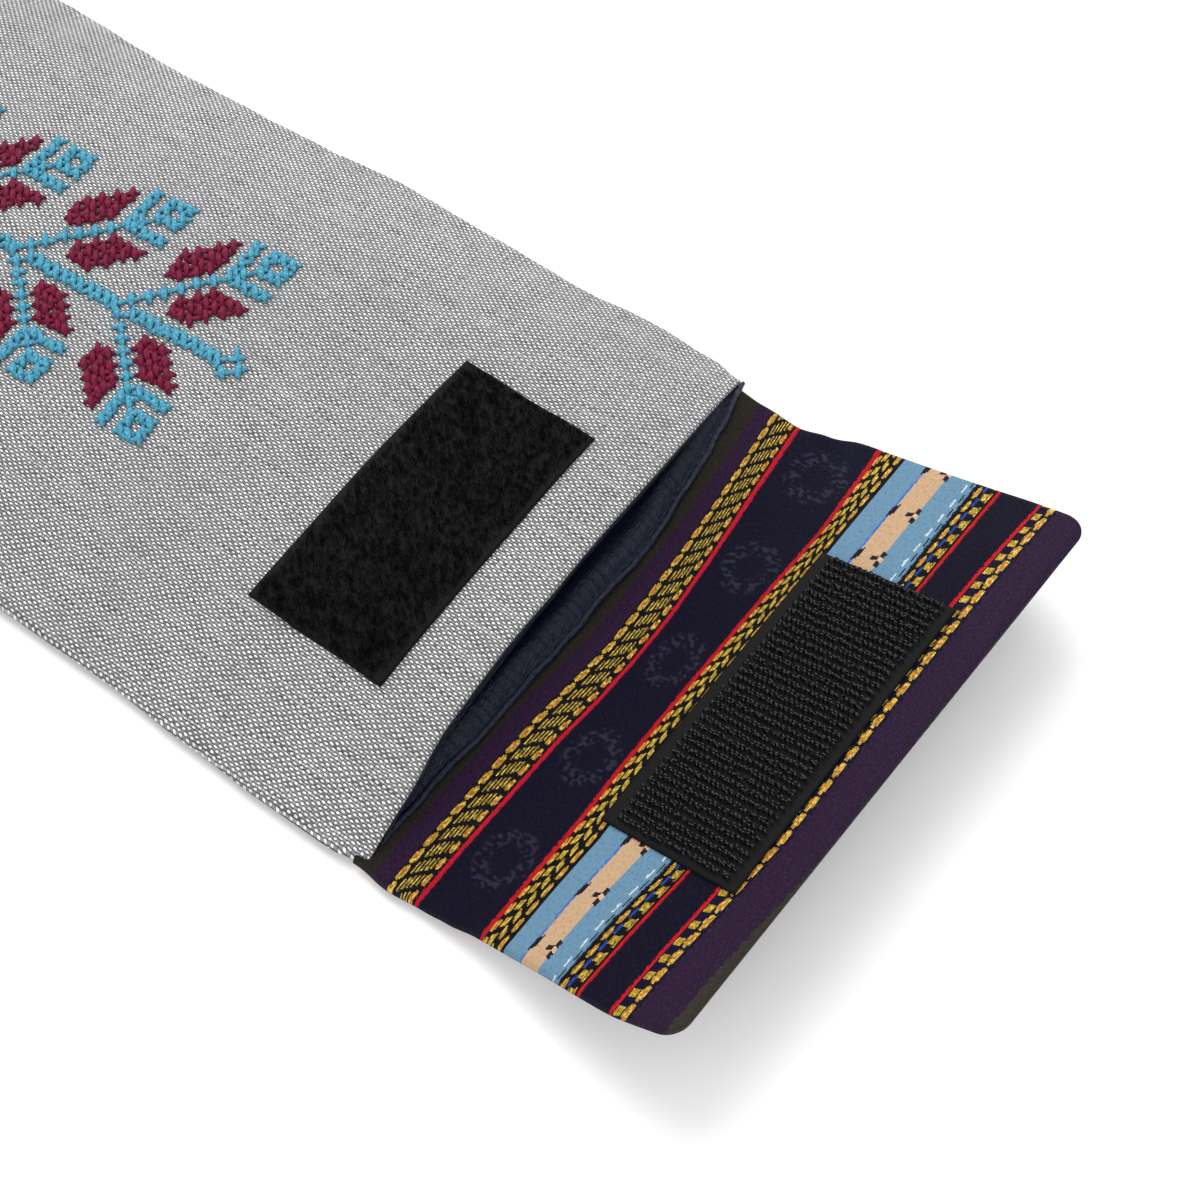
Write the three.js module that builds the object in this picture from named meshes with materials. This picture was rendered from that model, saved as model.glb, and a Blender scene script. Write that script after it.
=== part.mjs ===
// A flat cloth pouch that lies open on its back: a grey woven front, a striped brocade back that runs on
// as the flap, a navy satin pocket lining, and a black hook-and-loop fastening.
// Millimetres, +Z up. +Y runs along the pouch from its closed end to the flap, +X across it.
// While modelling, Y = 0 is the mouth; at the end the part is centred on its own bounding box.
import * as THREE from "three";

// Overall sizes
const BODY_WIDTH = 100; // across the side seams
const BODY_LENGTH = 180; // closed end to mouth
const BODY_RISE = 7.4; // how far the front panel arches over the back, at the middle
const FLAP_INSET = 1; // the flap is this much narrower than the body on each side
const FLAP_WIDTH = BODY_WIDTH - 2 * FLAP_INSET;
const FLAP_SHIFT = 1.3; // the flap is sewn on a little to the +X side
const FLAP_LENGTH = 56; // mouth to flap end, measured along the middle
const FLAP_SKEW = 8; // the flap end is this much further out at -X than at +X
const FLAP_LIFT = 14.5; // height that the flap end rises off the table
const FLAP_FLAT = 8; // length of flap past the mouth that still lies flat

// Cloth walls and the gap that pieces keep
const FRONT_CLOTH = 1.0;
const BROCADE = 1.0;
const LINING = 1.0;
const GAP = 0.3;

// Seams and edges
const BODY_CORNER = 6; // round corners at the closed end
const FLAP_CORNER = 3.4; // and at the flap end
const END_RAMP = 26; // length over which the closed end thins to its seam
const CROWN_POWER = 3; // fullness of the arch across the body
const LINING_LIP = 0.8; // the lining shows this far past the front panel
const LINING_END_RAMP = 0.6; // share of the end's thinning at which the lining closes
const LINING_BORDER = 5.4; // furthest that the lining reaches out onto the flap
const EDGE_WANDER = 1.2; // most that a sewn side strays from its straight line
const MOUTH_WANDER = 0.9; // and the mouth edge from its own

// Hook-and-loop tape
const LOOP_TAPE = { length: 51.5, width: 25, thickness: 1.5 };
const LOOP_CENTRE = { x: 2.9, fromMouth: 23.3, turn: -2 };
const HOOK_TAPE = { length: 54, width: 23, thickness: 1.4 };
const HOOK_CENTRE = { x: 1.3, fromMouth: 38.4, turn: -3.8 };

// Colours, roughness of each cloth
const FINISH = {
  greyCloth: { color: 0xb9b9bd, roughness: 0.95, metalness: 0 },
  brocade: { color: 0x251c38, roughness: 0.7, metalness: 0 },
  satin: { color: 0x16233f, roughness: 0.45, metalness: 0 },
  loopTape: { color: 0x131315, roughness: 1, metalness: 0 },
  hookTape: { color: 0x18181a, roughness: 0.6, metalness: 0 },
};

// Outlines read off the photo. side: -1 to 1 across the piece; along: share of the length;
// the other columns are shares of the named wander, border or length.
const BODY_SIDES = [
  { along: 0.0, atMinusX: 0.0, atPlusX: 0.0 },
  { along: 0.1, atMinusX: 0.3, atPlusX: 0.2 },
  { along: 0.19, atMinusX: 0.2, atPlusX: -0.3 },
  { along: 0.34, atMinusX: -0.7, atPlusX: 0.3 },
  { along: 0.45, atMinusX: -0.4, atPlusX: -0.6 },
  { along: 0.53, atMinusX: 0.0, atPlusX: -0.9 },
  { along: 0.61, atMinusX: 0.9, atPlusX: -1.0 },
  { along: 0.73, atMinusX: 0.4, atPlusX: -0.8 },
  { along: 0.83, atMinusX: -0.1, atPlusX: 0.0 },
  { along: 0.9, atMinusX: 0.6, atPlusX: 0.5 },
  { along: 0.97, atMinusX: 0.1, atPlusX: 0.6 },
  { along: 1.0, atMinusX: -0.7, atPlusX: -0.1 },
];
const FLAP_SIDES = [
  { along: 0.0, atMinusX: 0.0, atPlusX: 0.2 },
  { along: 0.1, atMinusX: -0.4, atPlusX: 0.7 },
  { along: 0.22, atMinusX: -0.8, atPlusX: 0.3 },
  { along: 0.3, atMinusX: -0.3, atPlusX: 0.1 },
  { along: 0.38, atMinusX: 0.4, atPlusX: -0.2 },
  { along: 0.55, atMinusX: 0.2, atPlusX: -0.1 },
  { along: 0.8, atMinusX: 0.1, atPlusX: 0.2 },
  { along: 1.0, atMinusX: -0.1, atPlusX: -0.7 },
];
const MOUTH_EDGE = [
  { side: -1.0, out: 0.0 },
  { side: -0.5, out: 0.4 },
  { side: 0.0, out: -0.5 },
  { side: 0.3, out: -1.0 },
  { side: 0.56, out: -1.0 },
  { side: 0.8, out: 0.2 },
  { side: 1.0, out: 0.4 },
];
const LINING_EDGE = [
  { side: -1.0, out: 0.2 },
  { side: -0.8, out: 0.55 },
  { side: -0.6, out: 0.8 },
  { side: -0.3, out: 1.0 },
  { side: 0.0, out: 0.82 },
  { side: 0.4, out: 0.6 },
  { side: 0.7, out: 0.32 },
  { side: 1.0, out: 0.12 },
];

// Row and column counts of the cloth grids
const BODY_ROWS = 26;
const FLAP_ROWS = 16;
const ACROSS = 22;
const CORNER_STEPS = 4;
const TAPE_ALONG = 12;
const TAPE_ACROSS = 6;

// A value of a table's column at a place, on a smooth line through its rows.
function fromTable(table, key, column, place) {
  const last = table.length - 1;
  if (place <= table[0][key]) return table[0][column];
  if (place >= table[last][key]) return table[last][column];
  const i = table.findIndex((row) => row[key] >= place) - 1;
  const share = (place - table[i][key]) / (table[i + 1][key] - table[i][key]);
  const eased = share * share * (3 - 2 * share);
  return table[i][column] * (1 - eased) + table[i + 1][column] * eased;
}

// How far a side is drawn in where the outline's corner is round.
function cornerInset(fromEnd, radius) {
  const reach = Math.max(0, radius - fromEnd);
  return radius - Math.sqrt(radius * radius - reach * reach);
}

// Left and right X of the body at a distance from its closed end.
function bodySides(fromEnd) {
  const along = fromEnd / BODY_LENGTH;
  const inset = cornerInset(fromEnd, BODY_CORNER);
  const half = BODY_WIDTH / 2 - inset;
  return {
    left: -half - EDGE_WANDER * fromTable(BODY_SIDES, "along", "atMinusX", along),
    right: half + EDGE_WANDER * fromTable(BODY_SIDES, "along", "atPlusX", along),
  };
}

// Length of the flap at a place across it: the end is cut a little askew.
function flapLengthAt(side) {
  return FLAP_LENGTH - (FLAP_SKEW / 2) * side;
}

// Left and right X of the flap at a share of its length.
function flapSides(along) {
  const inset = cornerInset((1 - along) * FLAP_LENGTH, FLAP_CORNER);
  const half = FLAP_WIDTH / 2 - inset;
  return {
    left: FLAP_SHIFT - half - EDGE_WANDER * fromTable(FLAP_SIDES, "along", "atMinusX", along),
    right: FLAP_SHIFT + half + EDGE_WANDER * fromTable(FLAP_SIDES, "along", "atPlusX", along),
  };
}

// Height that the flap has risen at a share of its length: flat first, then a steady slope.
function flapRise(along) {
  const flatShare = FLAP_FLAT / FLAP_LENGTH;
  const past = Math.max(0, along - flatShare) / (1 - flatShare);
  const bend = 0.3;
  const rise = past < bend ? (past * past) / (2 * bend) : past - bend / 2;
  return (FLAP_LIFT * rise) / (1 - bend / 2);
}

// Share of the full arch at a distance from the closed end.
function endRamp(fromEnd) {
  const short = Math.max(0, 1 - fromEnd / END_RAMP);
  return 1 - short * short;
}

// Height of the front panel's underside; side runs from -1 to 1 across the body.
function frontUnderside(side, fromEnd) {
  const crown = 1 - Math.pow(Math.abs(side), CROWN_POWER);
  return BROCADE + GAP + BODY_RISE * crown * endRamp(fromEnd);
}

const mouthOut = (side) => MOUTH_WANDER * fromTable(MOUTH_EDGE, "side", "out", side);
// The lining's border is placed by the body's width, also where the flap's facing meets it.
const liningOut = (side) => LINING_BORDER * fromTable(LINING_EDGE, "side", "out", side);

// Distances from an end with round corners: close together over the corner, then even.
function rowsWithCorner(length, radius, rows) {
  const corner = Array.from({ length: CORNER_STEPS }, (_, i) =>
    radius * (1 - Math.cos((Math.PI / 2) * (i / CORNER_STEPS))));
  const rest = Array.from({ length: rows + 1 }, (_, i) => radius + ((length - radius) * i) / rows);
  return [...corner, ...rest];
}

// Even places across, from -1 to 1, drawn closer together towards both sides.
function placesAcross(count) {
  return Array.from({ length: count + 1 }, (_, i) => {
    const even = (2 * i) / count - 1;
    return Math.sin((even * Math.PI) / 2) * 0.4 + even * 0.6;
  });
}

// Closed solid between two grids of points of the same size, [row][column], lower and upper.
function solidBetween(lower, upper) {
  const rows = lower.length;
  const columns = lower[0].length;
  const positions = [];
  for (const grid of [lower, upper]) {
    for (const row of grid) {
      for (const p of row) positions.push(p.x, p.y, p.z);
    }
  }
  const at = (layer, r, c) => layer * rows * columns + r * columns + c;
  const faces = [];
  const quad = (a, b, c, d) => faces.push(a, b, c, a, c, d);
  for (let r = 0; r < rows - 1; r++) {
    for (let c = 0; c < columns - 1; c++) {
      quad(at(0, r, c), at(0, r + 1, c), at(0, r + 1, c + 1), at(0, r, c + 1));
      quad(at(1, r, c), at(1, r, c + 1), at(1, r + 1, c + 1), at(1, r + 1, c));
    }
  }
  for (let c = 0; c < columns - 1; c++) {
    quad(at(0, 0, c), at(0, 0, c + 1), at(1, 0, c + 1), at(1, 0, c));
    quad(at(0, rows - 1, c + 1), at(0, rows - 1, c), at(1, rows - 1, c), at(1, rows - 1, c + 1));
  }
  for (let r = 0; r < rows - 1; r++) {
    quad(at(0, r + 1, 0), at(0, r, 0), at(1, r, 0), at(1, r + 1, 0));
    quad(at(0, r, columns - 1), at(0, r + 1, columns - 1), at(1, r + 1, columns - 1), at(1, r, columns - 1));
  }
  const geometry = new THREE.BufferGeometry();
  geometry.setAttribute("position", new THREE.Float32BufferAttribute(positions, 3));
  geometry.setIndex(faces);
  geometry.computeVertexNormals();
  return geometry;
}

// The grid of points of a surface raised square to itself by a distance.
function raised(grid, distance) {
  const clampRow = (r) => Math.min(grid.length - 1, Math.max(0, r));
  const clampColumn = (c) => Math.min(grid[0].length - 1, Math.max(0, c));
  return grid.map((row, r) =>
    row.map((p, c) => {
      const across = new THREE.Vector3().subVectors(row[clampColumn(c + 1)], row[clampColumn(c - 1)]);
      const along = new THREE.Vector3().subVectors(grid[clampRow(r + 1)][c], grid[clampRow(r - 1)][c]);
      const normal = across.cross(along).normalize();
      return p.clone().addScaledVector(normal, distance);
    }));
}

function mesh(name, geometry, finish) {
  const made = new THREE.Mesh(geometry, new THREE.MeshStandardMaterial(finish));
  made.name = name;
  return made;
}

// Grey woven front: one arched wall from side seam to side seam.
function frontPanel() {
  const rows = rowsWithCorner(BODY_LENGTH, BODY_CORNER, BODY_ROWS);
  const under = rows.map((fromEnd) => {
    const { left, right } = bodySides(fromEnd);
    return placesAcross(ACROSS).map((side) => {
      const x = left + ((right - left) * (side + 1)) / 2;
      const reach = fromEnd + (mouthOut(side) * fromEnd) / BODY_LENGTH;
      return new THREE.Vector3(x, reach - BODY_LENGTH, frontUnderside(side, fromEnd));
    });
  });
  const top = under.map((row) => row.map((p) => p.clone().setZ(p.z + FRONT_CLOTH)));
  return mesh("front_panel", solidBetween(under, top), FINISH.greyCloth);
}

// A point of the flap's lower face; along 0 is the mouth and 1 the flap end.
function flapPoint(side, along, level) {
  const { left, right } = flapSides(along);
  const x = left + ((right - left) * (side + 1)) / 2;
  return new THREE.Vector3(x, along * flapLengthAt(side), level + flapRise(along));
}

// Striped back: flat on the table under the body, then on past the mouth as the flap's outer face.
function backPanelAndFlap() {
  const bodyRows = rowsWithCorner(BODY_LENGTH, BODY_CORNER, Math.round(BODY_ROWS / 2)).slice(0, -1);
  const places = placesAcross(Math.round(ACROSS / 2));
  const body = bodyRows.map((fromEnd) => {
    const { left, right } = bodySides(fromEnd);
    return places.map((side) => {
      const x = left + ((right - left) * (side + 1)) / 2;
      return new THREE.Vector3(x, fromEnd - BODY_LENGTH, 0);
    });
  });
  const flap = flapShares(0).map((along) => places.map((side) => flapPoint(side, along, 0)));
  const outer = [...body, ...flap];
  return mesh("back_panel_and_flap", solidBetween(outer, raised(outer, BROCADE)), FINISH.brocade);
}

// Shares of the flap's length for its rows, from a start to the rounded end.
function flapShares(start) {
  const fromEnd = rowsWithCorner(FLAP_LENGTH * (1 - start), FLAP_CORNER, FLAP_ROWS);
  return fromEnd.map((distance) => 1 - distance / FLAP_LENGTH).reverse();
}

// Facing: the flap's inner face, from the lining's edge to the flap end.
function flapFacing() {
  const places = placesAcross(ACROSS);
  const under = flapShares(0).map((share) =>
    places.map((side) => {
      const onBody = flapPoint(side, 0, 0).x / (BODY_WIDTH / 2);
      const start = (liningOut(onBody) + GAP) / flapLengthAt(side);
      return flapPoint(side, start + share * (1 - start), 0);
    }));
  const lower = raised(under, BROCADE + GAP);
  const upper = raised(under, 2 * BROCADE + GAP);
  return mesh("flap_facing", solidBetween(lower, upper), FINISH.brocade);
}

// Half width, as a share of the body's, at which the pocket lining folds over.
function liningFold(fromEnd) {
  const foldHeight = 2 * LINING + 2 * GAP;
  return Math.cbrt(1 - foldHeight / (BODY_RISE * endRamp(fromEnd)));
}

// One ring of the pocket: along the back wall to +X, then along the front wall back to -X.
function liningRing(fromEnd, inset, atMouth) {
  const { left, right } = bodySides(fromEnd);
  const half = (right - left) / 2;
  const fold = liningFold(fromEnd) - inset / half;
  const back = [];
  const front = [];
  for (const place of placesAcross(Math.round(ACROSS / 2))) {
    const side = place * fold;
    const x = (left + right) / 2 + half * side;
    const y = fromEnd - BODY_LENGTH;
    const backY = y + (atMouth ? liningOut(side) : 0);
    const frontY = y + (atMouth ? LINING_LIP + mouthOut(side) : 0);
    back.push(new THREE.Vector3(x, backY, BROCADE + GAP + inset));
    front.unshift(new THREE.Vector3(x, frontY, frontUnderside(side, fromEnd) - GAP - inset));
  }
  return [...back, ...front];
}

// Navy satin pocket: a bag with a back wall, a front wall and a closed end, open at the mouth.
function pocketLining() {
  const closesAt = END_RAMP * (1 - Math.sqrt(1 - LINING_END_RAMP));
  const stations = Array.from({ length: BODY_ROWS + 1 }, (_, i) => i / BODY_ROWS);
  const rings = (start, inset) =>
    stations.map((share, i) =>
      liningRing(start + (BODY_LENGTH - start) * share, inset, i === BODY_ROWS));
  const skins = [rings(closesAt, 0), rings(closesAt + LINING, LINING)];
  const count = skins[0][0].length;
  const positions = skins.flat(2).flatMap((p) => [p.x, p.y, p.z]);
  const at = (skin, ring, i) => (skin * stations.length + ring) * count + (i % count);
  const faces = [];
  const quad = (a, b, c, d) => faces.push(a, b, c, a, c, d);
  for (let ring = 0; ring < BODY_ROWS; ring++) {
    for (let i = 0; i < count; i++) {
      quad(at(0, ring, i), at(0, ring + 1, i), at(0, ring + 1, i + 1), at(0, ring, i + 1));
      quad(at(1, ring, i), at(1, ring, i + 1), at(1, ring + 1, i + 1), at(1, ring + 1, i));
    }
  }
  for (let i = 0; i < count; i++) {
    quad(at(0, BODY_ROWS, i), at(1, BODY_ROWS, i), at(1, BODY_ROWS, i + 1), at(0, BODY_ROWS, i + 1));
  }
  for (let i = 0; i < count / 2 - 1; i++) {
    const over = count - 1 - i;
    quad(at(0, 0, i), at(0, 0, i + 1), at(0, 0, over - 1), at(0, 0, over));
    quad(at(1, 0, i), at(1, 0, over), at(1, 0, over - 1), at(1, 0, i + 1));
  }
  const geometry = new THREE.BufferGeometry();
  geometry.setAttribute("position", new THREE.Float32BufferAttribute(positions, 3));
  geometry.setIndex(faces);
  geometry.computeVertexNormals();
  return mesh("pocket_lining", geometry, FINISH.satin);
}

// A strip of tape laid on a surface that gives a point for each X and Y.
function tape(name, size, centre, turn, seat, finish) {
  const cos = Math.cos(THREE.MathUtils.degToRad(turn));
  const sin = Math.sin(THREE.MathUtils.degToRad(turn));
  const rows = Array.from({ length: TAPE_ACROSS + 1 }, (_, i) => size.width * (i / TAPE_ACROSS - 0.5));
  const columns = Array.from({ length: TAPE_ALONG + 1 }, (_, i) => size.length * (i / TAPE_ALONG - 0.5));
  const seatGrid = rows.map((v) =>
    columns.map((u) => seat(centre.x + u * cos - v * sin, centre.y + u * sin + v * cos)));
  return mesh(name, solidBetween(raised(seatGrid, GAP), raised(seatGrid, GAP + size.thickness)), finish);
}

// Soft loop tape on the front panel, near the mouth.
function loopPatch() {
  const seat = (x, y) => {
    const fromEnd = y + BODY_LENGTH;
    const { left, right } = bodySides(fromEnd);
    const side = (2 * (x - left)) / (right - left) - 1;
    return new THREE.Vector3(x, y, frontUnderside(side, fromEnd) + FRONT_CLOTH);
  };
  const centre = { x: LOOP_CENTRE.x, y: -LOOP_CENTRE.fromMouth };
  return tape("loop_patch", LOOP_TAPE, centre, LOOP_CENTRE.turn, seat, FINISH.loopTape);
}

// Hook tape on the flap's facing, nearly square to the flap's end.
function hookPatch() {
  const seat = (x, y) => {
    const side = (2 * (x - FLAP_SHIFT)) / FLAP_WIDTH;
    const along = y / flapLengthAt(side);
    const slope = (flapRise(along + 0.01) - flapRise(along - 0.01)) / (0.02 * FLAP_LENGTH);
    const layers = (2 * BROCADE + GAP) * Math.hypot(1, slope);
    return new THREE.Vector3(x, y, flapRise(along) + layers);
  };
  const centre = { x: HOOK_CENTRE.x, y: HOOK_CENTRE.fromMouth };
  return tape("hook_patch", HOOK_TAPE, centre, HOOK_CENTRE.turn, seat, FINISH.hookTape);
}

const pouch = new THREE.Group();
pouch.add(frontPanel(), backPanelAndFlap(), flapFacing(), pocketLining(), loopPatch(), hookPatch());

// The part's origin is the middle of its bounding box, at the table.
const bounds = new THREE.Box3().setFromObject(pouch);
const middle = bounds.getCenter(new THREE.Vector3());
pouch.position.set(-middle.x, -middle.y, -bounds.min.z);

export default pouch;
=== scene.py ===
# %% [markdown]
# # An open cloth pouch
# The pouch lies on its striped brocade back with its flap open. Its front is a grey handwoven cloth
# with a branch in cross-stitch, its pocket is lined with navy satin, and a black hook-and-loop tape
# closes it. Each piece is built here as cloth: grids of points that follow the sewn shape, threads and
# yarns where the eye finds them, and materials made of nodes. The measured model gives the frame.

# %% Load the measured model
import math
import bpy
import numpy as np
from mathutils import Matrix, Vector


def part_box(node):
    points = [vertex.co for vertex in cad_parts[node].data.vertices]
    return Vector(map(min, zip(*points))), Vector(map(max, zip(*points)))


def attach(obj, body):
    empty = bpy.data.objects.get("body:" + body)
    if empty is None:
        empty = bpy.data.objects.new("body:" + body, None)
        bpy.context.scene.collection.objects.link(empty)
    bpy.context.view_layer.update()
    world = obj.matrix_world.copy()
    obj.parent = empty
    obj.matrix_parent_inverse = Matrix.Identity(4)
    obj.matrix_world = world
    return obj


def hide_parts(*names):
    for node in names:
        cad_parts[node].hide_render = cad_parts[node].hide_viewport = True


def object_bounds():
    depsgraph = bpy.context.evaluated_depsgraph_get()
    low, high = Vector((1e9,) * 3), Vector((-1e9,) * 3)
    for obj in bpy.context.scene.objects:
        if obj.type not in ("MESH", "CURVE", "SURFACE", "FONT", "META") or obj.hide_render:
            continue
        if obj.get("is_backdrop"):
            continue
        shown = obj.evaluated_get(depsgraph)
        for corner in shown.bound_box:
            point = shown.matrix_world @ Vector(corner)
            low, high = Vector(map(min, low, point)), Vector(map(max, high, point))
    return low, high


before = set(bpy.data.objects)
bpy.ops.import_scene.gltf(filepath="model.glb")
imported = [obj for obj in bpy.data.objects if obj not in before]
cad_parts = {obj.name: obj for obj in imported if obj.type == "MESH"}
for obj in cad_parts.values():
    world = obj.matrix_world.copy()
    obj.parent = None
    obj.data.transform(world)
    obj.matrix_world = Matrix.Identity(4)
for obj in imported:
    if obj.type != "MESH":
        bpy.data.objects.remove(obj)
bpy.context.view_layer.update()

# %% [markdown]
# ## Sizes
# Cloth work is easiest to think of in millimetres with the mouth of the pocket at Y = 0, so all the
# shapes are worked out that way and moved into the model's frame at the very end.

# %% Sizes of the sewn pouch, in millimetres
BODY_WIDTH, BODY_LENGTH, BODY_RISE = 100.0, 180.0, 7.4
FLAP_WIDTH, FLAP_LENGTH, FLAP_SKEW, FLAP_SHIFT = 98.0, 56.0, 8.0, 1.3
FLAP_LIFT, FLAP_FLAT = 14.5, 8.0
LAYER, GAP = 1.0, 0.3
BODY_CORNER, FLAP_CORNER, END_RAMP = 6.0, 3.4, 26.0
EDGE_WANDER, MOUTH_WANDER, LINING_BORDER = 1.2, 0.9, 5.4
EDGE_ROLL = 1.15
SIDE_BULGE = 1.06
rng = np.random.default_rng(7)

back_low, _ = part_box("back_panel_and_flap")
front_low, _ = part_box("front_panel")
MOUTH_Y = 1000 * back_low.y + BODY_LENGTH
MIDDLE_X = 1000 * (back_low.x + front_low.x) / 2 + BODY_WIDTH / 2 + SIDE_BULGE
print("mouth at Y", round(MOUTH_Y, 2), "mm; middle at X", round(MIDDLE_X, 2), "mm")


def to_frame(points):
    """Points in millimetres with the mouth at Y = 0, as metres in the model's frame."""
    return (np.asarray(points, float) + [MIDDLE_X, MOUTH_Y, 0.0]) * 0.001


# %% [markdown]
# ## The sewn outline
# No sewn edge is straight. Short tables say how far each side wanders, at a few places along it, and
# a smooth line runs through them. The same tables shape the measured model.

# %% Side edges, mouth edge and lining border
BODY_SIDES = np.array([
    # along, at -X, at +X
    [0.0, 0.0, 0.0], [0.1, 0.3, 0.2], [0.19, 0.2, -0.3], [0.34, -0.7, 0.3], [0.45, -0.4, -0.6],
    [0.53, 0.0, -0.9], [0.61, 0.9, -1.0], [0.73, 0.4, -0.8], [0.83, -0.1, 0.0], [0.9, 0.6, 0.5],
    [0.97, 0.1, 0.6], [1.0, -0.7, -0.1],
])
FLAP_SIDES = np.array([
    [0.0, 0.0, 0.2], [0.1, -0.4, 0.7], [0.22, -0.8, 0.3], [0.3, -0.3, 0.1], [0.38, 0.4, -0.2],
    [0.55, 0.2, -0.1], [0.8, 0.1, 0.2], [1.0, -0.1, -0.7],
])
MOUTH_EDGE = np.array([
    [-1.0, 0.0], [-0.5, 0.4], [0.0, -0.5], [0.3, -1.0], [0.56, -1.0], [0.8, 0.2], [1.0, 0.4],
])
LINING_EDGE = np.array([
    [-1.0, 0.2], [-0.8, 0.55], [-0.6, 0.8], [-0.3, 1.0], [0.0, 0.82], [0.4, 0.6], [0.7, 0.32],
    [1.0, 0.12],
])


def smooth_line(table, column, place):
    """The table's value at each place, on a line that eases from one row to the next."""
    place = np.clip(place, table[0, 0], table[-1, 0])
    i = np.clip(np.searchsorted(table[:, 0], place, side="right") - 1, 0, len(table) - 2)
    share = (place - table[i, 0]) / (table[i + 1, 0] - table[i, 0])
    eased = share * share * (3 - 2 * share)
    return table[i, column] * (1 - eased) + table[i + 1, column] * eased


def corner_inset(from_end, radius):
    reach = np.clip(radius - from_end, 0, radius)
    return radius - np.sqrt(radius**2 - reach**2)


def body_sides(from_end):
    along = from_end / BODY_LENGTH
    half = BODY_WIDTH / 2 - corner_inset(from_end, BODY_CORNER)
    left = -half - EDGE_WANDER * smooth_line(BODY_SIDES, 1, along)
    right = half + EDGE_WANDER * smooth_line(BODY_SIDES, 2, along)
    return left, right


def flap_sides(along):
    half = FLAP_WIDTH / 2 - corner_inset((1 - along) * FLAP_LENGTH, FLAP_CORNER)
    left = FLAP_SHIFT - half - EDGE_WANDER * smooth_line(FLAP_SIDES, 1, along)
    right = FLAP_SHIFT + half + EDGE_WANDER * smooth_line(FLAP_SIDES, 2, along)
    return left, right


def flap_length_at(side):
    return FLAP_LENGTH - FLAP_SKEW / 2 * side


def flap_rise(along):
    flat = FLAP_FLAT / FLAP_LENGTH
    past = np.clip(along - flat, 0, None) / (1 - flat)
    bend = 0.3
    rise = np.where(past < bend, past**2 / (2 * bend), past - bend / 2)
    return FLAP_LIFT * rise / (1 - bend / 2)


def front_under(side, from_end):
    """Height of the front panel's underside: an arch that thins to the closed end."""
    short = np.clip(1 - from_end / END_RAMP, 0, 1)
    return LAYER + GAP + BODY_RISE * (1 - np.abs(side) ** 3) * (1 - short**2)


def mouth_out(side):
    return MOUTH_WANDER * smooth_line(MOUTH_EDGE, 1, side)


def lining_out(side):
    return LINING_BORDER * smooth_line(LINING_EDGE, 1, side)


print("outline tables:", len(BODY_SIDES), "body rows,", len(FLAP_SIDES), "flap rows")

# %% [markdown]
# ## One way to make cloth
# A sheet is a grid of points, joined into square faces. Beside each point goes its place on the flat
# cloth, in millimetres, in an attribute that the materials read. Weave and stripes then follow the
# cloth and not the room, also where it bends.

# %% A sheet of cloth from a grid of points


def cloth_sheet(name, points, flat, material, closed_ring=False):
    """points and flat are grids of the same size: where the cloth is, and its place when it lies flat."""
    rows, columns = points.shape[:2]
    index = np.arange(rows * columns).reshape(rows, columns)
    if closed_ring:
        index = np.hstack([index, index[:, :1]])
    faces = np.stack(
        [index[:-1, :-1], index[:-1, 1:], index[1:, 1:], index[1:, :-1]], axis=-1
    ).reshape(-1, 4)
    mesh = bpy.data.meshes.new(name)
    mesh.from_pydata(to_frame(points.reshape(-1, 3)), [], faces.tolist())
    place = mesh.attributes.new("cloth_mm", "FLOAT_VECTOR", "POINT")
    flat3 = np.zeros((rows * columns, 3), np.float32)
    flat3[:, :2] = flat.reshape(-1, 2)
    place.data.foreach_set("vector", flat3.ravel())
    mesh.shade_smooth()
    mesh.materials.append(material)
    piece = bpy.data.objects.new(name, mesh)
    bpy.context.collection.objects.link(piece)
    print(name, "has", len(faces), "faces")
    return piece


def waves(x, y, count, size, low, high, seed):
    """Soft uneven cloth: a few long waves in all directions, added up."""
    wave_rng = np.random.default_rng(seed)
    total = np.zeros(np.broadcast(x, y).shape)
    for _ in range(count):
        turn = wave_rng.uniform(0, math.pi)
        length = wave_rng.uniform(low, high)
        phase = wave_rng.uniform(0, 2 * math.pi)
        total += np.sin((x * math.cos(turn) + y * math.sin(turn)) * 2 * math.pi / length + phase)
    return size * total / math.sqrt(count)


def rolled(distance, radius):
    """How far a surface has dropped where it rolls over an edge at this distance."""
    short = np.clip(radius - distance, 0, radius)
    return radius - np.sqrt(radius**2 - short**2)


# %% [markdown]
# ## Materials: one helper, then one cloth at a time
# A colour is written as the eye reads it, in sRGB hex, and turned to linear light by one function.
# One more function adds a node, sets it and links its inputs. Everything else is plain sums.

# %% Colour and node helpers


def linear(hex_colour):
    """An sRGB hex colour as the linear red, green, blue and alpha that nodes want."""
    channels = [int(hex_colour[i : i + 2], 16) / 255 for i in (1, 3, 5)]
    return [c / 12.92 if c <= 0.04045 else ((c + 0.055) / 1.055) ** 2.4 for c in channels] + [1.0]


def add(material, kind, *inputs, output=0, **settings):
    """Adds a node of a kind. An input is a socket to link, a value to set, or None to leave."""
    tree = material.node_tree
    node = tree.nodes.new("ShaderNode" + kind)
    for key, value in settings.items():
        setattr(node, key, value)
    for socket, value in zip(node.inputs, inputs):
        if isinstance(value, bpy.types.NodeSocket):
            tree.links.new(value, socket)
        elif value is not None:
            socket.default_value = value
    return node.outputs[output] if node.outputs else node


def new_material(name, **shader):
    """A material with one Principled shader, its constants set on the shader's own sockets."""
    material = bpy.data.materials.new(name)
    material.use_nodes = True
    surface = material.node_tree.nodes["Principled BSDF"]
    for key, value in shader.items():
        surface.inputs[key.replace("_", " ")].default_value = value
    return material, surface


def mixed(material, share, first, second):
    """first where share is 0 and second where it is 1."""
    return add(
        material, "Mix", share, None, None, None, None, None, first, second,
        data_type="RGBA", output=2,
    )


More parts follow.
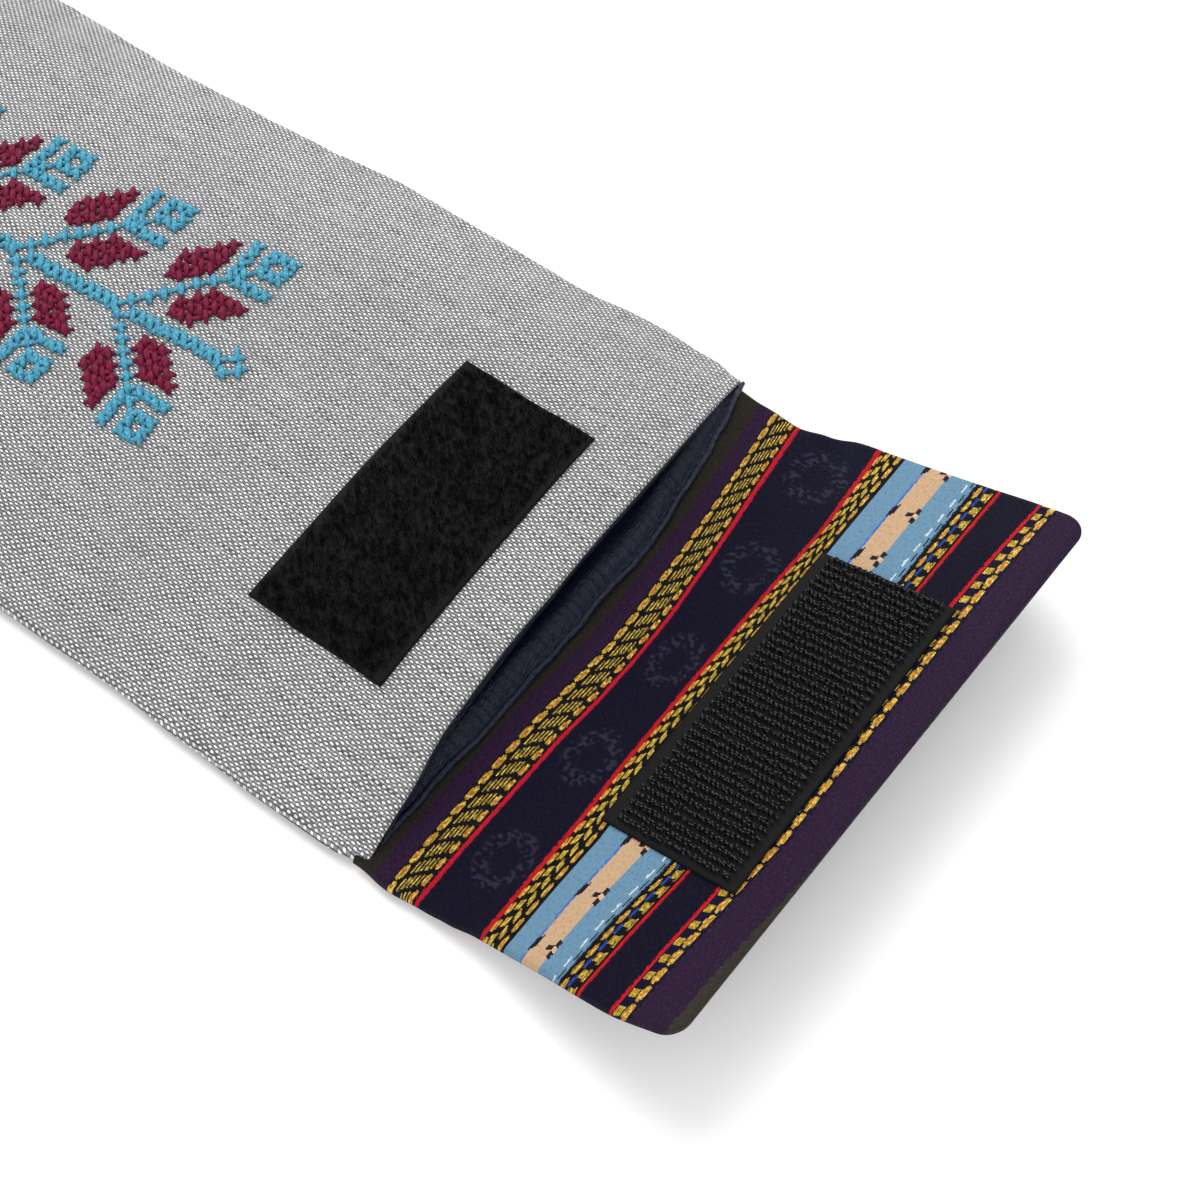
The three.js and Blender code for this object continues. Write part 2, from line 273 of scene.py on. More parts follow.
def flat_place(material):
    """The place on the flat cloth, in millimetres, as two sockets."""
    place = add(material, "Attribute", attribute_name="cloth_mm", output=1)
    split = add(material, "SeparateXYZ", place)
    return place, split, split.node.outputs[1]


# %% [markdown]
# ### Grey handwoven cloth
# A plain weave: light yarns cross dark ones, each going over one and under one. From a little way off
# it is a soft heather grey, and close up a field of pale beads with dark gaps. The near-black towards
# each yarn's edges and in the gaps is painted shade. Handspun yarn is uneven, so single yarns are
# lighter or darker along their way. The warp yarns lie 0.44 mm apart and the weft yarns 0.62 mm, so
# each pale bead is a short dash along the pouch.

# %% Grey plain weave
WARP_PITCH, WEFT_PITCH = 0.44, 0.62
grey_weave, surface = new_material(
    "grey_handwoven_cotton", Roughness=0.9, Specular_IOR_Level=0.2, Sheen_Weight=0.08, IOR=1.47
)
place, across, along = flat_place(grey_weave)
uneven = add(grey_weave, "TexNoise", place, None, 0.55, 3.0, 0.6)
uneven = add(grey_weave, "MapRange", uneven, 0.3, 0.7, -0.7, 0.7)
warp = add(grey_weave, "Math", across, math.pi / WARP_PITCH, uneven, operation="MULTIPLY_ADD")
weft = add(grey_weave, "Math", along, math.pi / WEFT_PITCH, uneven, operation="MULTIPLY_ADD")
warp_wave = add(grey_weave, "Math", warp, operation="SINE")
weft_wave = add(grey_weave, "Math", weft, operation="SINE")
over = add(grey_weave, "Math", warp_wave, weft_wave, operation="MULTIPLY")
weft_up = add(grey_weave, "MapRange", over, -0.4, 0.15, 0.0, 1.0)
warp_round = add(grey_weave, "Math", warp_wave, operation="ABSOLUTE")
weft_round = add(grey_weave, "Math", weft_wave, operation="ABSOLUTE")
weft_soft = add(grey_weave, "MapRange", weft_round, 0.0, 0.5, 0.2, 1.0)
yarn_round = add(grey_weave, "Math", warp_round, weft_soft, operation="MULTIPLY")

# Each yarn has its own tone, which also drifts along the yarn.
stretched = add(grey_weave, "VectorMath", place, (0.3, 1 / WEFT_PITCH, 0.0), operation="MULTIPLY")
weft_tone = add(grey_weave, "TexNoise", stretched, None, 1.0, 3.0, 0.6)
stretched = add(grey_weave, "VectorMath", place, (1 / WARP_PITCH, 0.12, 0.0), operation="MULTIPLY")
warp_tone = add(grey_weave, "TexNoise", stretched, None, 1.0, 2.0, 0.5)
broad = add(grey_weave, "TexNoise", place, None, 0.03, 3.0, 0.6)

weft_tone = add(grey_weave, "MapRange", weft_tone, 0.32, 0.62, 0.0, 1.0)
warp_tone = add(grey_weave, "MapRange", warp_tone, 0.3, 0.7, 0.0, 1.0)
light_yarn = mixed(grey_weave, weft_tone, linear("#C8C8C8"), linear("#FFFFFE"))
dark_yarn = mixed(grey_weave, warp_tone, linear("#4E4E52"), linear("#B4B4B7"))
woven = mixed(grey_weave, weft_up, dark_yarn, light_yarn)
# Painted shade: dark towards each yarn's edges and in the gaps between yarns, where shade falls.
gap_shade_share = add(grey_weave, "MapRange", yarn_round, 0.12, 0.72, 0.0, 1.0)
shaded = mixed(grey_weave, gap_shade_share, linear("#121215"), woven)
broad_share = add(grey_weave, "MapRange", broad, 0.38, 0.66, 0.2, 0.0)
toned = mixed(grey_weave, broad_share, shaded, linear("#7C7C80"))
grey_weave.node_tree.links.new(toned, surface.inputs["Base Color"])
height = add(grey_weave, "Math", yarn_round, 0.6, operation="POWER")
bump = add(grey_weave, "Bump", 0.8, 0.00035, None, height)
grey_weave.node_tree.links.new(bump, surface.inputs["Normal"])
print(grey_weave.name, "has", len(grey_weave.node_tree.nodes), "nodes")

# %% [markdown]
# ### Navy satin
# Satin floats its threads over several others, so it shines in soft streaks and its creases catch a
# bright blue edge. Its weave is too fine to show and is drawn at 0.3 mm, as a faint grain. The soft
# streaks are partly painted highlight: the grain's lighter navy stands in for the sheen.

# %% Navy satin
navy_satin, surface = new_material(
    "navy_satin", Roughness=0.36, Specular_IOR_Level=0.35, IOR=1.5
)
place = flat_place(navy_satin)[0]
stretched = add(navy_satin, "VectorMath", place, (1.2, 3.2, 0.0), operation="MULTIPLY")
grain = add(navy_satin, "TexNoise", stretched, None, 1.0, 3.0, 0.6)
grain = add(navy_satin, "MapRange", grain, 0.3, 0.7, 0.0, 1.0)
# Partly real grain and partly painted highlight: the lighter navy streaks stand in for the satin's sheen.
colour = mixed(navy_satin, grain, linear("#020308"), linear("#0D1A36"))
navy_satin.node_tree.links.new(colour, surface.inputs["Base Color"])
creases = add(navy_satin, "TexNoise", place, None, 0.35, 3.0, 0.6)
relief = add(navy_satin, "Math", creases, 3.0, grain, operation="MULTIPLY_ADD")
bump = add(navy_satin, "Bump", 0.5, 0.0004, None, relief)
navy_satin.node_tree.links.new(bump, surface.inputs["Normal"])
print(navy_satin.name, "has", len(navy_satin.node_tree.nodes), "nodes")

# %% [markdown]
# ### Striped brocade
# Brocade carries extra coloured and gilt threads across a dark ground. The stripes run across the flap.
# Their order and widths, in millimetres from the mouth, are in one table, and the small woven marks
# along them in another. A mark's row has a spacing, a half length, a half height and a lean.

# %% Stripes of the brocade, from the mouth to the flap end
STRIPES = [
    # start, colour
    (-200.0, "#24201A"),
    (5.3, "#28142F"),
    (7.9, "#0D0B12"),
    (12.1, "#C0142C"),
    (12.8, "#0C0A20"),
    (26.0, "#B81420"),
    (26.6, "#0C0A10"),
    (30.3, "#6C93AE"),
    (33.8, "#3A6CC4"),
    (34.2, "#CDAA86"),
    (37.7, "#6C93AE"),
    (41.9, "#0C0A10"),
    (45.3, "#C8181E"),
    (45.9, "#0E0B20"),
    (51.9, "#C8161E"),
    (52.5, "#0F0C28"),
    (54.8, "#2A1832"),
    (58.9, "#36322A"),
]
MARKS = [
    # centre, spacing, half length, half height, lean, shift, colour, lens shaped
    (8.5, 3.0, 1.35, 0.42, 0.9, 0.0, "#D9A634", True),
    (8.5, 3.0, 0.70, 0.17, 0.9, 0.0, "#C67A38", True),
    (9.45, 3.1, 1.05, 0.11, 0.0, 0.0, "#B0923A", False),
    (9.85, 3.1, 1.10, 0.11, 0.0, 0.5, "#CBA83C", False),
    (10.25, 3.1, 1.10, 0.11, 0.0, 1.0, "#B0923A", False),
    (10.65, 3.1, 1.10, 0.11, 0.0, 1.5, "#CBA83C", False),
    (11.05, 3.1, 1.00, 0.11, 0.0, 2.0, "#B0923A", False),
    (11.65, 3.0, 1.10, 0.32, 0.8, 0.9, "#D9A634", True),
    (11.7, 3.0, 0.70, 0.24, 0.8, 0.9, "#D07E3A", True),
    (27.0, 3.0, 1.10, 0.32, 1.0, 0.4, "#D8A238", True),
    (27.0, 3.0, 0.60, 0.17, 1.0, 0.4, "#D8803C", True),
    (27.8, 3.0, 0.85, 0.30, 1.3, 1.5, "#CDAA34", False),
    (28.6, 3.0, 0.85, 0.30, -1.3, 0.0, "#CDAA34", False),
    (29.6, 3.1, 1.30, 0.30, 0.6, 0.3, "#D9A634", True),
    (29.6, 3.1, 0.75, 0.14, 0.5, 0.3, "#D8883C", True),
    (34.35, 9.4, 1.05, 0.40, 1.2, 0.0, "#1A1820", False),
    (36.95, 9.4, 0.42, 0.60, 0.3, 0.2, "#241F25", False),
    (37.65, 9.4, 1.50, 0.36, 0.0, 0.2, "#241F25", False),
    (37.65, 9.4, 0.42, 0.42, 0.0, 0.2, "#DDB893", False),
    (40.95, 3.2, 0.85, 0.12, 0.6, 0.7, "#DCE6EC", False),
    (41.6, 3.2, 0.90, 0.15, 0.6, 2.0, "#141A24", False),
    (42.95, 3.0, 1.25, 0.34, 0.8, 0.5, "#D9A634", True),
    (42.95, 3.0, 0.75, 0.17, 0.7, 0.5, "#DC9448", True),
    (43.75, 3.0, 0.90, 0.20, 0.0, 1.7, "#24449C", False),
    (44.35, 3.0, 0.72, 0.36, 0.3, 0.2, "#CBA52E", False),
    (44.95, 3.0, 1.05, 0.15, 0.3, 0.2, "#CF9F34", False),
    (53.2, 2.95, 0.66, 0.55, 0.2, 0.4, "#CCA42E", False),
    (54.35, 3.1, 1.40, 0.38, 0.6, 0.2, "#D9A634", True),
    (54.35, 3.1, 0.80, 0.19, 0.5, 0.2, "#DC8E44", True),
]
BROCADE_REACH = 64.0
WEFT = 0.2
print(len(STRIPES), "stripes and", len(MARKS), "rows of marks")

# %% [markdown]
# A weaver can only place a mark on whole threads, so the place across the stripes is first rounded to
# the weft threads, 0.2 mm apart, and each thread is pushed a little along by noise. That gives the
# stepped, slightly ragged edges of real brocade.

# %% Brocade: threads and stripes
brocade, surface = new_material(
    "silk_brocade", Roughness=0.6, Specular_IOR_Level=0.08, IOR=1.5
)
place, across, along = flat_place(brocade)
thread = add(brocade, "Math", along, WEFT, operation="SNAP")
jitter = add(brocade, "TexWhiteNoise", None, thread, noise_dimensions="1D")
pushed = add(brocade, "Math", jitter, 0.22, across, operation="MULTIPLY_ADD")
fine = add(brocade, "VectorMath", place, (1.6, 6.0, 0.0), operation="MULTIPLY")
fibre = add(brocade, "TexNoise", fine, None, 1.0, 2.0, 0.6)
edge_noise = add(brocade, "MapRange", fibre, 0.3, 0.7, -0.09, 0.09)
level = add(brocade, "Math", thread, edge_noise, operation="ADD")
share = add(brocade, "Math", level, BROCADE_REACH, operation="DIVIDE")
ramp = add(brocade, "ValToRGB", share)
bands = ramp.node.color_ramp
bands.interpolation = "CONSTANT"
bands.elements[0].position = 0.0
bands.elements[0].color = linear(STRIPES[0][1])
bands.elements[1].position = STRIPES[1][0] / BROCADE_REACH
bands.elements[1].color = linear(STRIPES[1][1])
for start, colour in STRIPES[2:]:
    bands.elements.new(start / BROCADE_REACH).color = linear(colour)


def row_of_marks(along_place, across_place, centre, spacing, half_length, half_height, lean, shift, lens):
    """1 inside the marks of one woven row, 0 outside them."""
    off = add(brocade, "Math", along_place, centre, operation="SUBTRACT")
    leaned = add(brocade, "Math", off, lean, across_place, operation="MULTIPLY_ADD")
    moved = add(brocade, "Math", leaned, shift, operation="ADD")
    near = add(brocade, "Math", moved, spacing / 2, operation="PINGPONG")
    length = add(brocade, "Math", near, half_length, operation="DIVIDE")
    height = add(brocade, "Math", off, half_height, operation="DIVIDE")
    if lens:
        length = add(brocade, "Math", length, 2.0, operation="POWER")
        height = add(brocade, "Math", height, 2.0, operation="POWER")
        reach = add(brocade, "Math", length, height, operation="ADD")
    else:
        height = add(brocade, "Math", height, operation="ABSOLUTE")
        reach = add(brocade, "Math", length, height, operation="MAXIMUM")
    return add(brocade, "Math", reach, 1.0, operation="LESS_THAN")


# %% Brocade: the woven marks, row by row
colour = ramp
gilt = None
for centre, spacing, half_length, half_height, lean, shift, tone, lens in MARKS:
    mark = row_of_marks(level, pushed, centre, spacing, half_length, half_height, lean, shift, lens)
    colour = mixed(brocade, mark, colour, linear(tone))
    if tone[1] in "BCDF" and centre not in (37.65, 40.95):
        gilt = mark if gilt is None else add(brocade, "Math", gilt, mark, operation="MAXIMUM")

# Gilt thread is a foil strip wound on a core. Its flashes are a painted highlight, and the brown between
# them is painted shade.
glint = add(brocade, "VectorMath", place, (1.5, 3.0, 0.0), operation="MULTIPLY")
glint = add(brocade, "TexNoise", glint, None, 1.0, 2.0, 0.7)
gilt_painted_shade = add(brocade, "MapRange", glint, 0.4, 0.55, 0.45, 0.0)
gilt_painted_shade = add(brocade, "Math", gilt_painted_shade, gilt, operation="MULTIPLY")
colour = mixed(brocade, gilt_painted_shade, colour, linear("#4A3512"))
gilt_painted_highlight = add(brocade, "MapRange", glint, 0.52, 0.64, 0.0, 0.8)
gilt_painted_highlight = add(brocade, "Math", gilt_painted_highlight, gilt, operation="MULTIPLY")
colour = mixed(brocade, gilt_painted_highlight, colour, linear("#FFE978"))

# The faint wreaths on the wide navy stripe: a broken ring of short grey strokes.
ring_near = add(brocade, "Math", across, 9.7, operation="PINGPONG")
ring_off = add(brocade, "Math", along, 20.2, operation="SUBTRACT")
ring_point = add(brocade, "CombineXYZ", ring_near, ring_off)
ring_far = add(brocade, "VectorMath", ring_point, operation="LENGTH", output=1)
ring_edge = add(brocade, "Math", ring_far, 3.9, operation="SUBTRACT")
ring_edge = add(brocade, "Math", ring_edge, operation="ABSOLUTE")
ring = add(brocade, "MapRange", ring_edge, 0.9, 1.7, 1.0, 0.0)
strokes = add(brocade, "VectorMath", place, (1.3, 0.75, 0.0), operation="MULTIPLY")
stroke_noise = add(brocade, "TexNoise", strokes, None, 1.0, 1.0, 0.4)
stroke = add(brocade, "MapRange", stroke_noise, 0.5, 0.58, 0.0, 1.0)
wreath = add(brocade, "Math", ring, stroke, operation="MULTIPLY")
wreath = add(brocade, "Math", wreath, 0.35, operation="MULTIPLY")
colour = mixed(brocade, wreath, colour, linear("#454552"))
print("brocade has", len(brocade.node_tree.nodes), "nodes")

# %% [markdown]
# Last come the thread by thread differences: a darker line between wefts, which is painted shade, a
# lighter or duller thread here and there, and gilt threads that shine while the silk around them stays
# soft.

# %% Brocade: thread shading, gloss and relief
# Painted shade: a darker line in the hollow between one weft and the next.
turned = add(brocade, "Math", along, math.pi / WEFT, operation="MULTIPLY")
thread_wave = add(brocade, "Math", turned, operation="SINE")
thread_round = add(brocade, "Math", thread_wave, operation="ABSOLUTE")
dark_share = add(brocade, "MapRange", thread_round, 0.0, 0.6, 0.3, 0.0)
colour = mixed(brocade, dark_share, colour, linear("#08070C"))
light_share = add(brocade, "MapRange", fibre, 0.52, 0.75, 0.0, 0.03)
colour = mixed(brocade, light_share, colour, linear("#B9B2C4"))
dark_share = add(brocade, "MapRange", fibre, 0.25, 0.5, 0.5, 0.0)
colour = mixed(brocade, dark_share, colour, linear("#050408"))
brocade.node_tree.links.new(colour, surface.inputs["Base Color"])
metal = add(brocade, "Math", gilt, 0.35, operation="MULTIPLY")
brocade.node_tree.links.new(metal, surface.inputs["Metallic"])
gloss = add(brocade, "MapRange", gilt, 0.0, 1.0, 0.6, 0.36)
brocade.node_tree.links.new(gloss, surface.inputs["Roughness"])
relief = add(brocade, "Math", gilt, 1.2, thread_round, operation="MULTIPLY_ADD")
relief = add(brocade, "Math", fibre, relief, operation="ADD")
bump = add(brocade, "Bump", 0.6, 0.00025, None, relief)
brocade.node_tree.links.new(bump, surface.inputs["Normal"])
print("brocade has", len(brocade.node_tree.nodes), "nodes")

# %% [markdown]
# ## Front panel
# The front is one piece of cloth, sewn to the back along both sides and turned right side out. It
# arches over the pocket, is held flat at its seams, and is folded in at the mouth. The seams draw the
# cloth in and leave short ripples beside them.

# %% Front panel


def front_top(x, y):
    """Height of the front panel's upper face at a place, from the mouth at Y = 0 back."""
    from_end = np.clip(y + BODY_LENGTH, 0, BODY_LENGTH)
    left, right = body_sides(from_end)
    side = np.clip(2 * (x - left) / (right - left) - 1, -1, 1)
    from_side = np.minimum(x - left, right - x)
    pucker = np.exp(-np.clip(from_side, 0, None) / 4.0) * np.clip(from_side / 1.5, 0, 1)
    ripples = 0.28 * pucker * (np.sin(y * 0.78 + 1.3 * np.sin(y * 0.21)) + 0.5 * np.sin(y * 1.71 + 2))
    soft = waves(x, y, 9, 0.26, 16, 70, 3) * np.clip(from_side / 8, 0, 1)
    across_folds = 0.16 * np.sin(y * 0.52 + 0.06 * x + 2 * np.sin(y * 0.05))
    across_folds = across_folds * np.exp(-np.clip(from_side, 0, None) / 16)
    soft = soft + across_folds * np.clip(from_side / 3, 0, 1)
    return front_under(side, from_end) + LAYER + ripples + soft


across_count, along_count = 150, 240
side = np.sin(np.linspace(-math.pi / 2, math.pi / 2, across_count)) * 0.35
side += np.linspace(-1, 1, across_count) * 0.65
end_rows = BODY_CORNER * (1 - np.cos(np.linspace(0, math.pi / 2, 14)))
from_end = np.concatenate([end_rows[:-1], np.linspace(BODY_CORNER, BODY_LENGTH, along_count)])
S, T = np.meshgrid(side, from_end)
left, right = body_sides(T)
X = left + (right - left) * (S + 1) / 2
Y = T + mouth_out(S) * T / BODY_LENGTH - BODY_LENGTH
Z = front_top(X, T - BODY_LENGTH)
Z -= rolled(np.minimum(np.minimum(X - left, right - X), T), EDGE_ROLL)

# The mouth fold: the last rows turn over a small radius and run back inside.
FOLD = 0.6
turns = np.linspace(0, math.pi, 9)[1:]
fold_y = np.concatenate([FOLD * np.sin(turns), -np.array([1.5, 4.0, 7.0])])
fold_z = np.concatenate([FOLD * (np.cos(turns) - 1), -2 * FOLD * np.ones(3)])
Y = np.vstack([Y, Y[-1] + fold_y[:, None]])
Z = np.vstack([Z, Z[-1] + fold_z[:, None]])
X = np.vstack([X, np.repeat(X[-1:], len(fold_y), axis=0)])
fold_flat = np.concatenate([FOLD * turns, FOLD * math.pi + np.array([1.5, 4.0, 7.0])])
flat_y = np.vstack([Y[: len(from_end)], Y[len(from_end) - 1] + fold_flat[:, None]])
front = cloth_sheet("front_cloth", np.stack([X, Y, Z], -1), np.stack([X, flat_y], -1), grey_weave)
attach(front, "root")
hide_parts("front_panel")

# %% [markdown]
# ## Brocade back and the flap's outer face
# The back lies flat on the table, and past the mouth it goes on as the outside of the flap. Its edges
# roll up to meet the front along the side seams.

# %% Back panel with the flap's outer face


def flap_xy(side, along):
    left, right = flap_sides(along)
    return left + (right - left) * (side + 1) / 2, along * flap_length_at(side)


side = np.sin(np.linspace(-math.pi / 2, math.pi / 2, 110)) * 0.45
side += np.linspace(-1, 1, 110) * 0.55
body_rows = np.concatenate([end_rows[:-1], np.linspace(BODY_CORNER, BODY_LENGTH - 1, 60)])
flap_corner = 1 - FLAP_CORNER * (1 - np.cos(np.linspace(math.pi / 2, 0, 12))) / FLAP_LENGTH
flap_rows = np.concatenate([np.linspace(0, flap_corner[0], 50)[:-1], flap_corner])
S, T = np.meshgrid(side, body_rows)
left, right = body_sides(T)
X, Y = left + (right - left) * (S + 1) / 2, T - BODY_LENGTH
Z = rolled(np.minimum(np.minimum(X - left, right - X), T), EDGE_ROLL)
S, A = np.meshgrid(side, flap_rows)
fX, fY = flap_xy(S, A)
left, right = flap_sides(A)
edge = np.minimum(np.minimum(fX - left, right - fX), (1 - A) * FLAP_LENGTH)
fZ = flap_rise(A) + rolled(edge, EDGE_ROLL)
X, Y, Z = np.vstack([X, fX]), np.vstack([Y, fY]), np.vstack([Z, fZ])
back = cloth_sheet("back_brocade", np.stack([X, Y, Z], -1), np.stack([X, Y + 9], -1), brocade)
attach(back, "root")
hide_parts("back_panel_and_flap")

# %% [markdown]
# ## The flap's facing
# The inner face of the flap is a second piece of the brocade. It was not laid quite square, so its
# stripes run a little askew, and the mouth's seam pulls them into a shallow curve. A table gives, for
# single stripes, the share of the flap's length at which each crosses the flap from side to side.

# %% Facing with its stripes
STRIPE_AT = np.array([-47.0, -31.0, -17.0, -7.0, 3.0, 11.0, 19.0, 30.0, 40.0, 50.0])
STRIPE_LINES = [
    # place on the cloth in mm, shares of the flap's length at the places above
    (8.55, [0.141, 0.163, 0.177, 0.179, 0.178, 0.162, 0.145, 0.130, 0.120, 0.112]),
    (12.45, [0.208, 0.227, 0.247, 0.256, 0.254, 0.244, 0.227, 0.212, 0.201, 0.192]),
    (26.3, [0.438, 0.450, 0.437, 0.430, 0.424, 0.420, 0.417, 0.417, 0.409, 0.402]),
    (29.8, [0.500, 0.492, 0.487, 0.485, 0.483, 0.480, 0.480, 0.485, 0.474, 0.466]),
    (42.5, [0.7155, 0.714, 0.712, 0.710, 0.708, 0.706, 0.704, 0.698, 0.672, 0.661]),
    (45.6, [0.767, 0.760, 0.757, 0.755, 0.753, 0.750, 0.748, 0.742, 0.725, 0.714]),
    (52.2, [0.873, 0.856, 0.850, 0.847, 0.845, 0.842, 0.840, 0.836, 0.823, 0.813]),
    (54.35, [0.903, 0.892, 0.890, 0.889, 0.889, 0.889, 0.888, 0.872, 0.856, 0.848]),
]


def stripe_place(x, along):
    """The place on the brocade, in mm across its stripes, that shows here on the facing."""
    knots = [np.interp(x, STRIPE_AT, shares) for _, shares in STRIPE_LINES]
    values = [place for place, _ in STRIPE_LINES]
    step = (values[-1] - values[-2]) / (knots[-1] - knots[-2])
    place = values[-1] + (along - knots[-1]) * np.clip(step, 36, 43)
    for i in range(len(values) - 2, -1, -1):
        share = (along - knots[i]) / (knots[i + 1] - knots[i])
        inside = values[i] + (values[i + 1] - values[i]) * share
        place = np.where(along < knots[i + 1], inside, place)
    return place


def facing_top(x, along):
    """Height of the facing's upper face."""
    left, right = flap_sides(along)
    side = 2 * (x - FLAP_SHIFT) / FLAP_WIDTH
    from_side = np.minimum(x - left, right - x)
    pucker = np.exp(-np.clip(from_side, 0, None) / 3.5) * np.exp(-((along - 0.25) / 0.22) ** 2)
    ripples = 0.35 * pucker * np.sin(along * 48 + 0.8) * np.clip(from_side / 1.2, 0, 1)
    soft = waves(x, along * FLAP_LENGTH, 6, 0.10, 14, 40, 11)
    slope = (flap_rise(along + 0.01) - flap_rise(along - 0.01)) / (0.02 * FLAP_LENGTH)
    return flap_rise(along) + (2 * LAYER + GAP) * np.hypot(1, slope) + ripples + soft


side = np.sin(np.linspace(-math.pi / 2, math.pi / 2, 150)) * 0.4
side += np.linspace(-1, 1, 150) * 0.6
start_row = -0.02
flap_rows = np.concatenate([np.linspace(start_row, flap_corner[0], 110)[:-1], flap_corner])
S, A = np.meshgrid(side, flap_rows)
X, Y = flap_xy(S, A)
left, right = flap_sides(A)
edge = np.minimum(np.minimum(X - left, right - X), (1 - A) * FLAP_LENGTH)
Z = facing_top(X, A) - rolled(edge, EDGE_ROLL)
facing = cloth_sheet(
    "flap_facing_brocade", np.stack([X, Y, Z], -1), np.stack([X, stripe_place(X, A)], -1), brocade
)
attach(facing, "root")
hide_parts("flap_facing")

# %% [markdown]
# ## Satin pocket lining
# The lining is a bag inside the bag. At the mouth it is turned over towards the outside, so it shows as
# two soft rolls: one under the front's folded edge, one lying on the flap, with the dark pocket between.

# %% Pocket lining
stations = np.linspace(10, BODY_LENGTH, 60)
half_ring = np.linspace(-1, 1, 60)
rings, flats = [], []
for t in stations:
    left, right = (float(v) for v in body_sides(np.array(t)))
    half, centre = (right - left) / 2, (left + right) / 2
    short = max(0.0, 1 - t / END_RAMP)
    fold = (1 - 2.6 / (BODY_RISE * (1 - short**2))) ** (1 / 3)
    lower = half_ring * fold
    upper = lower[::-1]
    y = t - BODY_LENGTH
    low = np.stack([centre + half * lower, np.full(60, y), np.full(60, LAYER + GAP + 0.9)], -1)
    high = np.stack(
        [centre + half * upper, np.full(60, y), front_under(upper, t) - GAP - 0.9], -1
    )
    rings.append(np.vstack([low, high]))
    flats.append(np.stack([np.arange(120) * 1.4, np.full(120, y)], -1))
lining = cloth_sheet(
    "pocket_satin", np.array(rings), np.array(flats), navy_satin, closed_ring=True
)
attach(lining, "root")
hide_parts("pocket_lining")

# %% Rolled lining edges at the mouth
# Each row: how far in from the border it lies, and how high it stands above the facing.
BACK_PROFILE = [
    (20.0, -0.6), (12.0, 0.0), (7.0, 0.6), (5.4, 1.25), (4.6, 1.65), (3.9, 1.88), (3.2, 1.9),
    (2.5, 1.65), (1.9, 1.1), (1.5, 0.55), (1.25, 0.32), (1.12, 0.38), (0.98, 0.66), (0.78, 0.88),
    (0.5, 0.97), (0.22, 0.86), (0.04, 0.55), (0.0, 0.2), (0.1, -0.1),
]


def satin_strip(name, side, rows_y, rows_z):
    x_left, x_right = (float(v) for v in body_sides(np.array(BODY_LENGTH)))
    x = x_left + (x_right - x_left) * (side + 1) / 2
    points = np.stack([np.repeat(x[None], len(rows_y), 0), np.array(rows_y), np.array(rows_z)], -1)
    step = np.linalg.norm(np.diff(points, axis=0), axis=-1)
    run = np.vstack([0 * x, np.cumsum(step, axis=0)])
    return cloth_sheet(name, points, np.stack([points[..., 0], run], -1), navy_satin)


side = np.linspace(-0.985, 0.985, 320)
x = side * BODY_WIDTH / 2
gathers = np.sin(x * 2 * math.pi / 1.7 + 2.2 * np.sin(x * 0.31)) * (0.75 + 0.25 * np.sin(x * 0.9))
border = lining_out(side) + 0.45 + waves(x, 0 * x, 6, 0.10, 5, 18, 31)
height = 0.75 + 0.25 * (1 - side**2) + waves(x, 0 * x, 6, 0.06, 7, 25, 32)
rows_y, rows_z = [], []
for inward, stand in BACK_PROFILE:
    puckered = 0.22 * gathers * math.exp(-(((inward - 2.6) / 1.9) ** 2))
    y = border - inward
    ceiling = np.where(y < mouth_out(side) + 0.8, front_under(side, BODY_LENGTH) - 0.25, 99.0)
    rows_y.append(y)
    rows_z.append(np.minimum(2 * LAYER + GAP + stand * height + puckered, ceiling))
back_roll = satin_strip("lining_roll_back", side, rows_y, rows_z)

side = np.linspace(-0.9, 0.9, 260)
x = side * BODY_WIDTH / 2
edge_z = front_under(side, BODY_LENGTH) - 0.35
size = 0.5 * np.clip((0.9 - np.abs(side)) / 0.12, 0.3, 1) + waves(x, 0 * x, 6, 0.05, 4, 15, 21)
rows_y = [mouth_out(side) - inward for inward in (14.0, 7.0, 2.5)]
rows_z = [edge_z, edge_z, edge_z]
for turn in np.linspace(0, 1.1 * math.pi, 14):
    rows_y.append(mouth_out(side) + 0.75 - size + size * np.sin(turn))
    rows_z.append(edge_z + size * (np.cos(turn) - 1))
front_roll = satin_strip("lining_roll_front", side, rows_y, rows_z)

for roll in (front_roll, back_roll):
    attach(roll, "root")

# %% [markdown]
# ## The cross-stitch branch
# The branch is worked in two colours of stranded cotton over a grid of 1.75 mm cells. A stitch is two
# short bars that cross, the second over the first. All the bars of a colour are one mesh, because many
# small objects would be slow, and a painted stitch would not catch the light. The chart below gives
# one pair of sprigs as cells: across counts out from the stem, along counts towards the mouth. It
# repeats every twelve cells.

# %% The stitch chart
CELL = 1.75
STEM_REPEAT = 12
STEM_PITCH = 2.4
OVERLAP, UNEVEN = 1.1, 0.17
THREAD_WIDTH, THREAD_HEIGHT, THREAD_ARCH = 1.12, 0.7, 0.30
FIRST_NODE = -85.5
stalk = [(i + 1, i) for i in range(7)]
arms = [(7, along) for along in range(7, 11)] + [(across, 6) for across in range(8, 12)]
bud = [(8, 7)] + [(9, 8), (10, 8), (11, 8), (9, 9), (11, 9), (9, 10), (10, 10), (11, 10)]
upper_leaf = [(2, a) for a in range(4, 7)] + [(3, a) for a in range(4, 8)]
upper_leaf += [(4, a) for a in range(5, 9)] + [(5, a) for a in range(6, 10)]
lower_leaf = [(along + 1, across - 1) for across, along in upper_leaf]
sprig = {"turquoise": stalk + arms + bud, "maroon": upper_leaf + lower_leaf}


def stitch_place(across, node_y, along):
    """A cell's place on the cloth: the far side of the cloth is worked a little wider than the near."""
    pitch = 1.95 if across < 0 else 1.65
    y = node_y + along * CELL - (0.05 if across < 0 else -0.02) * abs(across) * pitch
    stem_x = -0.3 - 0.037 * (y - FIRST_NODE)
    return stem_x + across * pitch, y, pitch if across else STEM_PITCH


